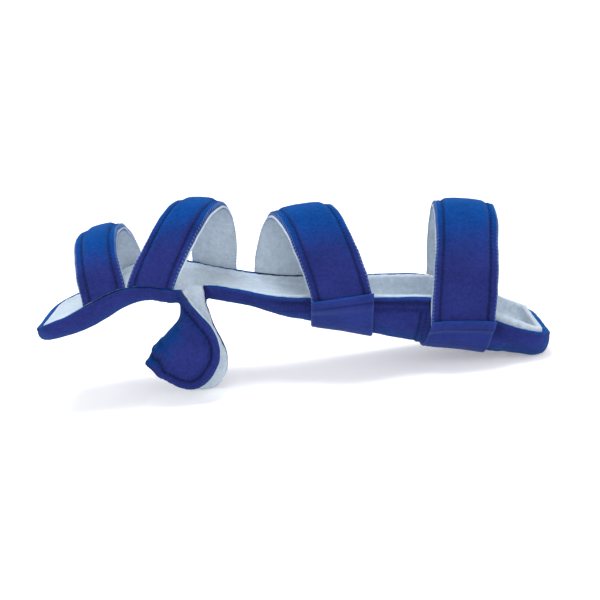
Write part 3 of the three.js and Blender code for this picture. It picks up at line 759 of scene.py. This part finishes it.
# A closed sheet from its inner and outer grids
def sheet_mesh(name, inner, outer, across, along):
    rows, columns = inner.shape[:2]
    size = rows * columns
    points = np.concatenate([inner.reshape(-1, 3), outer.reshape(-1, 3)])
    i, j = np.meshgrid(np.arange(rows - 1), np.arange(columns - 1), indexing="ij")
    a = (i * columns + j).ravel()
    quads = [np.stack([a, a + 1, a + columns + 1, a + columns], -1),
             np.stack([a, a + columns, a + columns + 1, a + 1], -1) + size]
    ring = np.concatenate([np.arange(columns), columns * np.arange(1, rows) + columns - 1,
                           (rows - 1) * columns + np.arange(columns - 2, -1, -1),
                           columns * np.arange(rows - 2, 0, -1)])
    after = np.roll(ring, -1)
    quads.append(np.stack([ring, ring + size, after + size, after], -1))
    faces = np.concatenate(quads)
    corners = [points[faces[:, k]] for k in range(3)]
    if np.einsum("ij,ij->i", corners[0], np.cross(corners[1], corners[2])).sum() < 0:
        faces = faces[:, ::-1]
    obj = make(name, points, faces)
    shade_smooth(obj)
    flat = np.concatenate([np.stack([across, along], -1).reshape(-1, 2)] * 2)
    corner_vertices = np.empty(len(obj.data.loops), np.int32)
    obj.data.loops.foreach_get("vertex_index", corner_vertices)
    obj.data.uv_layers.new(name="cloth").data.foreach_set("uv", flat[corner_vertices].ravel())
    return obj


# Both sides of a sheet get the values of its grid
def put_sheet_float(obj, name, grid):
    put_float(obj.data, name, np.concatenate([grid.ravel()] * 2))


# Threads: one tube along each short row of points, narrower at its ends
def threads(name, runs, radius, sides=5, end_share=0.55):
    n, k = runs.shape[:2]
    t = unit(np.gradient(runs, axis=1))
    spare = np.where(np.abs(t[..., 2:3]) < 0.9, np.array([0, 0, 1.0]), np.array([1.0, 0, 0]))
    a = unit(np.cross(t, spare))
    b = np.cross(t, a)
    turn = np.arange(sides) / sides * 2 * math.pi
    taper = np.full(k, 1.0)
    taper[[0, -1]] = end_share
    c, s = (v[None, None, :, None] for v in (np.cos(turn), np.sin(turn)))
    ring = runs[:, :, None] + radius * taper[None, :, None, None] * (a[:, :, None] * c + b[:, :, None] * s)
    base = []
    for j in range(k - 1):
        for m in range(sides):
            after = (m + 1) % sides
            base.append([j * sides + m, j * sides + after, (j + 1) * sides + after, (j + 1) * sides + m])
    faces = (np.array(base)[None] + (np.arange(n) * k * sides)[:, None, None]).reshape(-1, 4).tolist()
    caps = [[(i * k + e) * sides + m for m in order] for i in range(n)
            for e, order in ((0, range(sides - 1, -1, -1)), (k - 1, range(sides)))]
    obj = make(name, ring.reshape(-1, 3), faces + caps)
    shade_smooth(obj)
    return obj


# How a strap is sewn: an edge band beside a gathered groove, an overlocked edge and a row of
# stitches in the groove
EDGE_BAND, EDGE_CROWDING, STRAP_GATHER = 4.6, 1.12, 2.6
FAR_SIDE_GATHER, TERRY_PROUD, FREE_ENDS = 0.3, 0.55, (4, 12)
STRAP_EDGING_RADIUS, STRAP_STITCH_RADIUS = 0.18, 0.24
STRAP_STITCHES = dict(pitch=3.1, steps=[0, 0.6, 1.2, 1.8, 2.3], lift=[-0.15, 0.12, 0.16, 0.12, -0.15])


# The shares across a strap, its length, and the grids of its face's outside and inside and its
# terry's inside and outside
def strap_grids(strap):
    width = strap["width"]
    _, length = strap_line(strap, 0, STRAP_THICKNESS, 50)
    count = int(length / STRAP_STEP)
    across = np.linspace(-1, 1, int(width / STRAP_STEP) + 1)
    # closer lines at the two edges round them off
    across = np.sign(across) * (1 - (1 - np.abs(across)) ** EDGE_CROWDING)
    grids = [np.array([strap_line(strap, a, layer, count)[0] for a in across])
             for layer in (STRAP_THICKNESS, STRAP_LINING_THICKNESS + GAP, 0, STRAP_LINING_THICKNESS)]
    # the two long edges aren't quite straight
    lengths = np.linspace(0, length, count)
    for sign in (-1, 1):
        path = np.column_stack([lengths, np.full(count, 40.0 * sign), np.full(count, width)])
        sway = 0.9 * waver(path, 0.045, 3.0) + 0.25 * waver(path, 0.16, 6.0)
        pull = (np.clip(across * sign, 0, 1) ** 2)[:, None] * sway[None]
        for grid in grids:
            grid[..., 0] += pull
    # the terry stands a little proud of the face along both edges
    low, high = FREE_ENDS
    free = between(lengths, FREE_ENDS, (length - high, length - low))
    proud = TERRY_PROUD * (np.sign(across) * np.abs(across) ** 6)[:, None] * free
    for grid in grids[2:]:
        grid[..., 0] += proud
    return across, length, grids


# Overlocking along one edge: each stitch runs from the face over the edge to the terry
def overlock(face, inward, up, terry, length):
    last = len(face) - 1
    index = np.arange(last + 1)
    at = np.arange(1.5, length - 1.5, OVERLOCK_PITCH) / length * last
    o, w, u, i = (read(at, index, line) for line in (face, inward, up, terry))
    o2, w2, u2 = (read(at + 0.9, index, line) for line in (face, inward, up))
    return np.stack([o2 + w2 * 1.05 + u2 * 0.72, o + w * 0.5 + u * 0.6, o - w * 0.25 + u * 0.05,
                     i - w * 0.25 - u * 0.1, i + w * 0.9 - u * 0.45], 1)


def stitch_row(line, up, length):
    last = len(line) - 1
    starts = np.arange(2.0, length - 4, STRAP_STITCHES["pitch"])
    at = (starts[:, None] + np.array(STRAP_STITCHES["steps"])[None]) / length * last
    index = np.arange(last + 1)
    return read(at, index, line) + read(at, index, up) * np.array(STRAP_STITCHES["lift"])[None, :, None]


def build_strap(strap):
    name, width = strap["name"], strap["width"]
    across, length, (face, back, terry, terry_back) = strap_grids(strap)
    shape = face.shape[:2]
    lengths = np.broadcast_to(np.linspace(0, length, shape[1]), shape)
    side, d, u = (np.broadcast_to(v[:, None], shape) for v in (
        np.sign(across), (1 - np.abs(across)) * width / 2, across * width / 2))

    # the face
    up = face - back
    n = grid_normals(face, up)
    wide, fine, wander = waver(face, 0.045, 2.0), waver(face, 0.2, 5.0), waver(face, 0.03, 8.0)
    places = np.stack([lengths * 0.4 + 60 * side, side, 0 * side], -1)
    strength = 0.55 + 0.6 * np.clip(waver(places, 0.09, 1.0), -0.5, 1)
    pulled = np.where(side > 0, strap["gather"], FAR_SIDE_GATHER)
    gather = (pulled * strength * bell(d, EDGE_BAND - 0.4, 1.5)
              * np.sin(2 * math.pi * lengths / STRAP_GATHER + 2.5 * wander))
    band = 0.3 - 1.05 * (1 - fade(d, EDGE_BAND - 0.3, EDGE_BAND + 3.6))
    groove = -0.75 * bell(d, EDGE_BAND, 0.7)
    shift = band + groove + gather + round_off(d, 0.75, 0.9) + 0.45 * wide + 0.12 * fine
    shift = np.maximum(shift, 0.5 - np.linalg.norm(up, axis=-1))
    outer = face + n * shift[..., None]
    cloth = sheet_mesh(f"{name}_strap_cloth", back, outer, u, lengths)
    put_sheet_float(cloth, "edge", d)
    # Painted shade along the groove beside each edge band
    put_sheet_float(cloth, "painted_crease_shade", 0.85 * bell(d, EDGE_BAND, 0.75))

    # the terry
    under = grid_normals(terry, terry - terry_back)
    pile = 0.32 * waver(terry, 0.62) + 0.24 * waver(terry, 0.3, 4.0) + round_off(d, 0.6, 1.2)
    terry_cloth = sheet_mesh(f"{name}_strap_lining_cloth", terry + under * pile[..., None], terry_back,
                             u, lengths)

    # the threads
    runs = [overlock(outer[e], unit(outer[e + inward] - outer[e]), n[e], terry[e], length)
            for e, inward in ((0, 3), (-1, -3))]
    edging = threads(f"{name}_strap_edging", np.concatenate(runs), STRAP_EDGING_RADIUS)
    in_groove = [int(np.argmin(np.abs(across - sign * (1 - 2 * EDGE_BAND / width)))) for sign in (-1, 1)]
    rows = [stitch_row(outer[k], n[k], length) for k in in_groove]
    seam = threads(f"{name}_strap_stitching", np.concatenate(rows), STRAP_STITCH_RADIUS)
    return cloth, terry_cloth, edging, seam


# How a tab is sewn: a hem over its top end, with a groove under it, and a line near its edges
TAB_STEP_DOWN, HEM, HEM_SHADE, HEM_TOP, TAB_LINE = (0.3, 7.5), 5.2, 5.4, 2.2, 2.6


# Hook tabs: over the strap's end, a step down to the wall, then on along it
def build_tab(strap):
    name, laps, width = strap["name"], strap["laps"], strap["width"]
    span = max(laps) + TAB_REACH
    across = np.linspace(-1, 1, int(width * TAB_WIDER / TAB_STEP) + 1)
    shares = np.linspace(0, 1, int(span / TAB_STEP) + 1)
    inner, outer = (np.empty((len(across), len(shares), 3)) for _ in range(2))
    for a, c in enumerate(across):
        end = strap_end(strap, c)
        lap = laps[0] + (laps[1] - laps[0]) * (c + 1) / 2
        for b, share in enumerate(shares):
            x = strap_x(strap, 0 if strap["tab"] < 0 else 1, c * TAB_WIDER) + strap["drift"] * share
            down = end - lap + (lap + TAB_REACH) * share
            past = fade(down, end + TAB_STEP_DOWN[0], end + TAB_STEP_DOWN[1])
            hang = strap["hang"] * max(-c, 0) * share**3
            clear = TAB_CLEARANCE + (STRAP_THICKNESS + GAP) * (1 - past) + hang
            for grid, layer in ((inner, 0), (outer, TAB_THICKNESS)):
                y, z = along_line(wall_line(x, strap["tab"], clear + layer), [max(down, 0)])[0]
                grid[a, b] = (x, y, z + max(-down, 0))
    n = grid_normals(outer, outer - inner)
    shape = outer.shape[:2]
    down = np.broadcast_to((shares * span)[None, :], shape)
    rim = np.minimum((1 - np.abs(across))[:, None] * width / 2, span - down)
    hem = 0.5 * (1 - fade(down, HEM - 1, HEM + 0.2)) - 0.7 * bell(down, HEM, 0.55)
    hem -= 0.3 * bell(down, HEM_TOP, 0.5)
    line = -0.22 * bell(rim, TAB_LINE, 0.5)
    puff = 0.25 * waver(outer, 0.06, 11.0)
    shift = hem + round_off(np.minimum(rim, down), 0.9, 0.9) + line + puff
    u = np.broadcast_to(across[:, None] * width / 2, shape)
    tab = sheet_mesh(f"{name}_strap_tab_cloth", inner, outer + n * shift[..., None], u, down)
    put_sheet_float(tab, "edge", rim)
    # Painted shade in the groove under the hem
    put_sheet_float(tab, "painted_crease_shade", 0.7 * bell(down, HEM_SHADE, 0.6))
    return tab


straps = [build_strap(strap) for strap in STRAPS]
tabs = [build_tab(strap) for strap in STRAPS]

# Stitches of the cover: overlocked rim, and the rows in the grooves. A stitch's offsets run
# along the rim, its drops down from the edge, and its lifts out of the cloth.
cover_surface = surface_of(cover)
OVERLOCK = dict(offsets=[0.7, 0.3, 0, 0], drops=[1.7, 0.8, 0, 0], back=1.3,
                lifts=[-0.05, 0.12, 0.14, -0.05])
STITCH = dict(offsets=[0, 0.5, 1.0, 1.5, 1.9], lifts=[-0.15, 0.14, 0.18, 0.14, -0.15])
BAND_PITCH, EDGING_RADIUS, STITCH_RADIUS = 2.9, 0.2, 0.23
STRETCH, SLACK, ASTRAY = 1.7, 0.5, 2.2


# Rows of points laid on the cover, without those that would bridge a sharp corner
def on_cover(points, lifts):
    out, astray = [], []
    for p, lift in zip(points.reshape(-1, 3).tolist(), lifts * len(points)):
        hit, normal, _, distance = cover_surface.find_nearest(p)
        out.append(np.array(hit) + np.array(normal) * lift)
        astray.append(distance)
    laid = np.array(out).reshape(points.shape)
    meant = np.linalg.norm(np.diff(points, axis=1), axis=-1)
    steps = np.linalg.norm(np.diff(laid, axis=1), axis=-1)
    near = np.array(astray).reshape(points.shape[:2]) < ASTRAY
    return laid[(steps < STRETCH * meant + SLACK).all(1) & near.all(1)]


# The points of all rims at the given distances along them, down from the edge by some amount,
# where the cover is sewn in that way: 0 as on the thumb trough, 1 as on the forearm
def along_rims(pitch, offsets, drops, back=0.0, kind=None):
    runs = []
    for p, n, down, at in rims:
        starts = np.arange(0.5, at[-1] - max(offsets) - 0.5, pitch)
        want = starts[:, None] + np.array(offsets)[None]
        run = read(want, at, p) + read(want, at, down) * np.array(drops)[None, :, None]
        run[:, -1] -= read(want, at, n)[:, -1] * back
        if kind is not None:
            run = run[sewn_as(run[:, 0])[kind] > 0.6]
        runs.append(run)
    return np.concatenate(runs)


runs = along_rims(OVERLOCK_PITCH, OVERLOCK["offsets"], OVERLOCK["drops"], OVERLOCK["back"])
cover_edging = threads("splint_cover_edging", on_cover(runs, OVERLOCK["lifts"]), EDGING_RADIUS)
seams = [(BAND_PITCH, BAND, 0), *((STITCH_PITCH, row, 1) for row in ROWS)]
runs = np.concatenate([along_rims(pitch, STITCH["offsets"], [drop] * len(STITCH["offsets"]), kind=kind)
                       for pitch, drop, kind in seams])
cover_seam = threads("splint_cover_stitching", on_cover(runs, STITCH["lifts"]), STITCH_RADIUS)


# Materials
def material(name):
    m = bpy.data.materials.new(name)
    m.use_nodes = True
    return m, m.node_tree.nodes, m.node_tree.links, m.node_tree.nodes["Principled BSDF"]


def set_inputs(node, values):
    for key, value in values.items():
        node.inputs[key].default_value = value


# Cloth: three sizes of speckle between a deep and a light colour, which also raise its surface.
# Given colours for them, faces turned up are painted lighter and bluer: painted light from above.
# Given a worn colour, it is rubbed paler along its sewn edges, has a little lint, and its seams
# and creases get painted shade.
COARSER, BROAD_SCALE, LINT_SCALE = 0.28, 45, 900
FINE_SHARE, COARSE_SHARE, BROAD_SHARE = 0.36, 0.34, 0.3
# How dark and how strong the painted shade in seams and creases is
PAINTED_SHADE_DEPTH, PAINTED_SHADE_STRENGTH = 0.25, 0.75


def cloth_material(name, deep, light, sheen, sheen_tint, roughness, weave, bump, painted_top_light=None,
                   relief=0.0004, wear_and_shade=None, spread=(0.36, 0.64)):
    m, nodes, links, shader = material(name)

    def add(kind, output, inputs=(), **settings):
        node = nodes.new("ShaderNode" + kind)
        for key, value in settings.items():
            setattr(node, key, value)
        for key, value in dict(inputs).items():
            if isinstance(value, bpy.types.NodeSocket):
                links.new(value, node.inputs[key])
            else:
                node.inputs[key].default_value = value
        return node.outputs[output]

    def speckle(**values):
        return add("TexNoise", "Fac", dict(values, Vector=place))

    def computed(operation, *values):
        return add("Math", 0, enumerate(values), operation=operation)

    def ranged(value, limits, kind="LINEAR"):
        inputs = zip(["Value", "From Min", "From Max", "To Min", "To Max"], [value, *limits])
        return add("MapRange", "Result", inputs, interpolation_type=kind)

    def blended(factor, a, b):
        return add("Mix", "Result", dict(Factor=factor, A=a, B=b), data_type="RGBA")

    def attribute(key):
        return add("Attribute", "Fac", attribute_name=key)

    def coloured(value, low, high):
        colour = add("ValToRGB", "Color", dict(Fac=value))
        for element, position, shade in zip(colour.node.color_ramp.elements, spread, (low, high)):
            element.position, element.color = position, (*shade, 1)
        return colour

    place = add("TexCoord", "Object")
    broad = speckle(Scale=BROAD_SCALE, Detail=4)
    total = 0.0
    for texture, share in [(speckle(Scale=weave, Detail=6, Roughness=0.7), FINE_SHARE),
                           (speckle(Scale=weave * COARSER, Detail=3, Distortion=0.6), COARSE_SHARE),
                           (broad, BROAD_SHARE)]:
        total = computed("MULTIPLY_ADD", texture, share, total)
    top = coloured(total, deep, light)
    if painted_top_light:
        # Painted light: faces turned up take the lighter, bluer colours, as if lit from above
        facing = add("SeparateXYZ", "Z", {0: add("NewGeometry", "Normal")})
        top = blended(ranged(facing, (0.2, 0.92), "SMOOTHSTEP"), top, coloured(total, *painted_top_light))
    if wear_and_shade:
        rubbed = computed("MULTIPLY", ranged(attribute("edge"), (1.8, 0.2, 0.0, 0.5)), broad)
        lint = ranged(speckle(Scale=LINT_SCALE, Detail=1), (0.74, 0.8, 0.0, 0.35))
        top = blended(computed("MAXIMUM", rubbed, lint), top, (*wear_and_shade, 1))
        # Painted shade: seams and creases darkened towards the deep colour
        shade = computed("MULTIPLY", attribute("painted_crease_shade"), PAINTED_SHADE_STRENGTH)
        top = blended(shade, top, (*(c * PAINTED_SHADE_DEPTH for c in deep), 1))
    links.new(top, shader.inputs["Base Color"])
    set_inputs(shader, {"Roughness": roughness, "Sheen Weight": sheen, "Sheen Tint": (*sheen_tint, 1),
                        "Sheen Roughness": 0.45, "Specular IOR Level": 0.05})
    raised = add("Bump", "Normal", dict(Strength=bump, Distance=relief, Height=total))
    links.new(raised, shader.inputs["Normal"])
    return m


blue = cloth_material(
    "blue_laminate", (0.0095, 0.0132, 0.082), (0.0215, 0.028, 0.166), sheen=0.25,
    sheen_tint=(0.04, 0.36, 1.0), roughness=0.9, weave=1900, bump=1.0, relief=0.0011,
    painted_top_light=((0.0003, 0.020, 0.112), (0.0008, 0.048, 0.250)), wear_and_shade=(0.04, 0.08, 0.30))
tab_blue = cloth_material(
    "blue_hook_tab", (0.009, 0.0155, 0.098), (0.018, 0.029, 0.168), sheen=0.15, sheen_tint=(0.2, 0.45, 1.0),
    roughness=0.62, weave=1500, bump=0.3,
    painted_top_light=((0.0016, 0.027, 0.145), (0.0032, 0.050, 0.255)), wear_and_shade=(0.045, 0.08, 0.29))
terry_white = cloth_material(
    "terry", (0.28, 0.345, 0.42), (0.61, 0.69, 0.77), sheen=0.2, sheen_tint=(0.9, 0.95, 1.0),
    roughness=0.95, weave=1100, bump=1.0, relief=0.0012, spread=(0.24, 0.78))
thread_blue = cloth_material(
    "blue_thread", (0.005, 0.008, 0.055), (0.01, 0.016, 0.1), sheen=0.1, sheen_tint=(0.3, 0.5, 1.0),
    roughness=0.6, weave=3000, bump=0.3)
thread_pale = cloth_material(
    "pale_thread", (0.07, 0.14, 0.33), (0.20, 0.29, 0.50), sheen=0.2, sheen_tint=(0.8, 0.9, 1.0),
    roughness=0.7, weave=3000, bump=0.3)


def finish_piece(obj, surface_material, nodes=()):
    set_coordinates(obj.data, rest(coordinates(obj.data)))
    obj.data.materials.clear()
    obj.data.materials.append(surface_material)
    obj.data.polygons.foreach_set("material_index", np.zeros(len(obj.data.polygons), np.int32))
    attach(obj, "root")
    if nodes:
        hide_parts(*nodes)


finish_piece(cover, blue, ["splint_cover"])
finish_piece(lining, terry_white, ["terry_lining"])
finish_piece(cover_edging, thread_blue)
finish_piece(cover_seam, thread_blue)
for strap, (cloth, terry, edging, seam), tab in zip(STRAPS, straps, tabs):
    node = f"{strap['name']}_strap"
    finish_piece(cloth, blue, [node])
    finish_piece(terry, terry_white, [f"{node}_lining"])
    finish_piece(tab, tab_blue, [f"{node}_tab"])
    finish_piece(edging, thread_pale)
    finish_piece(seam, thread_blue)


# Stage: a pale floor that curves up all round into a backdrop, and soft studio light. Lengths
# are in metres.
def stage(radius=2.6, bend=0.9, height=3.2, flat=0.8, sides=48, below=0.00005):
    turn = np.linspace(0, math.pi / 2, 13)
    r = np.concatenate([[0.01, flat], radius - bend + bend * np.sin(turn), [radius]])
    z = np.concatenate([[0, 0], bend * (1 - np.cos(turn)), [height]])
    around = np.arange(sides) / sides * 2 * math.pi
    points = [(a * math.cos(g), a * math.sin(g), b) for g in around for a, b in zip(r, z)]
    k = len(r)
    faces = [[i * k + j, ((i + 1) % sides) * k + j, ((i + 1) % sides) * k + j + 1, i * k + j + 1][::-1]
             for i in range(sides) for j in range(k - 1)]
    obj = make("backdrop", points, faces + [[i * k for i in range(sides)]])
    shade_smooth(obj)
    obj.location.z = -below
    m, _, _, shader = material("backdrop")
    set_inputs(shader, {"Base Color": (0.9, 0.9, 0.905, 1), "Roughness": 0.9, "Specular IOR Level": 0.1,
                        "Emission Color": (1, 1, 1, 1), "Emission Strength": 0.28})
    obj.data.materials.append(m)


def area_light(name, location, target, size, power, colour=(1, 1, 1)):
    data = bpy.data.lights.new(name, "AREA")
    data.size, data.energy, data.color = size, power, colour
    light = bpy.data.objects.new(name, data)
    bpy.context.collection.objects.link(light)
    light.location = location
    light.rotation_euler = (Vector(target) - Vector(location)).to_track_quat("-Z", "Y").to_euler()


stage()
area_light("key", (-0.1, 0.1, 1.4), (0, 0, 0.05), 0.8, 17, (0.93, 0.97, 1.0))
area_light("front", (0.3, -1.7, 0.7), (0, 0, 0.05), 1.0, 10)
world = bpy.data.worlds.new("studio")
bpy.context.scene.world = world
world.use_nodes = True
set_inputs(world.node_tree.nodes["Background"], {"Color": (1, 1, 1, 1), "Strength": 0.42})
bpy.context.scene.view_settings.view_transform = "Standard"
